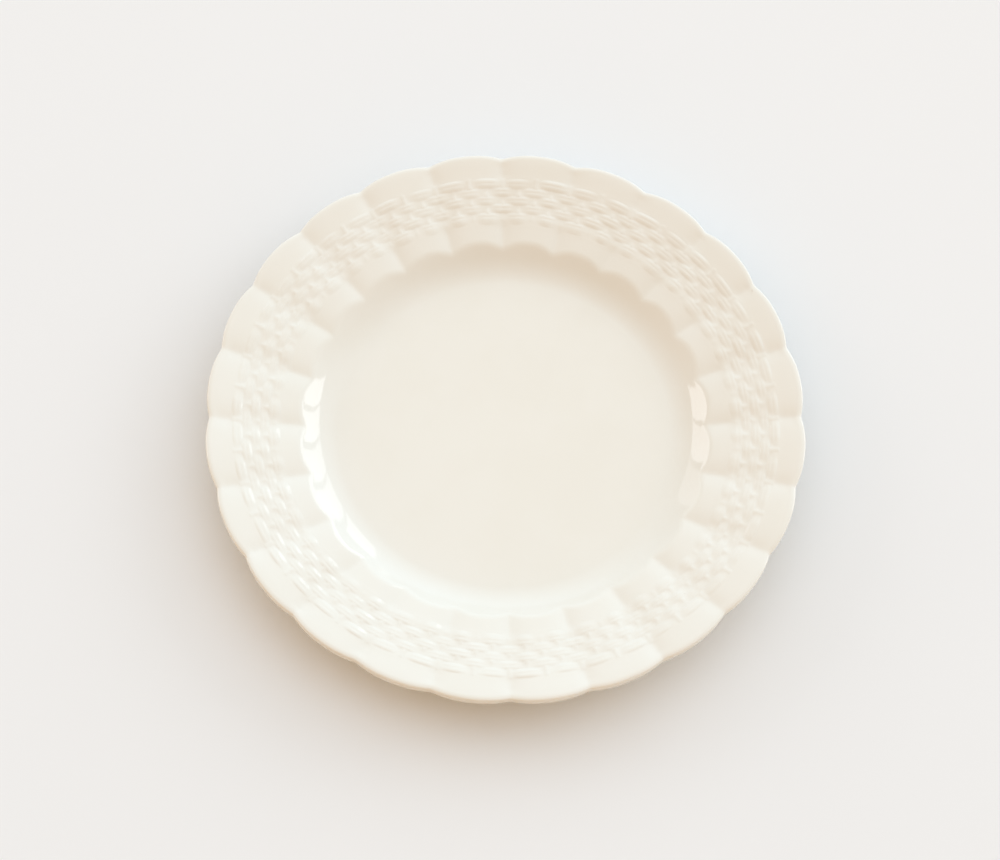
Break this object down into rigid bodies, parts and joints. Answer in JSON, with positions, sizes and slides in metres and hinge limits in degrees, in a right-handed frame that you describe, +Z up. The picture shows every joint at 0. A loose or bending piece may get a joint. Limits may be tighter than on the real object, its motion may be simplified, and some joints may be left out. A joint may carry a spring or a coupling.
{
  "type": "tea plate",
  "caption": "Round cream tea plate with a scalloped lobed rim, a moulded basketwork band, a shallow plain well and a foot ring.",
  "frame": {"origin": "centre of the foot ring, on the plane that the plate stands on", "axes": "+Z up along the plate's axis, +X through the crest of a lobe"},
  "size_m": [0.17, 0.17, 0.0163],
  "materials": {
    "biscuit": "bare fired earthenware, matt",
    "glaze": "cream glossy glaze"
  },
  "bodies": {
    "root": {"biscuit_body": "biscuit", "glaze_coat": "glaze", "base_glaze": "glaze"}
  },
  "joints": []
}
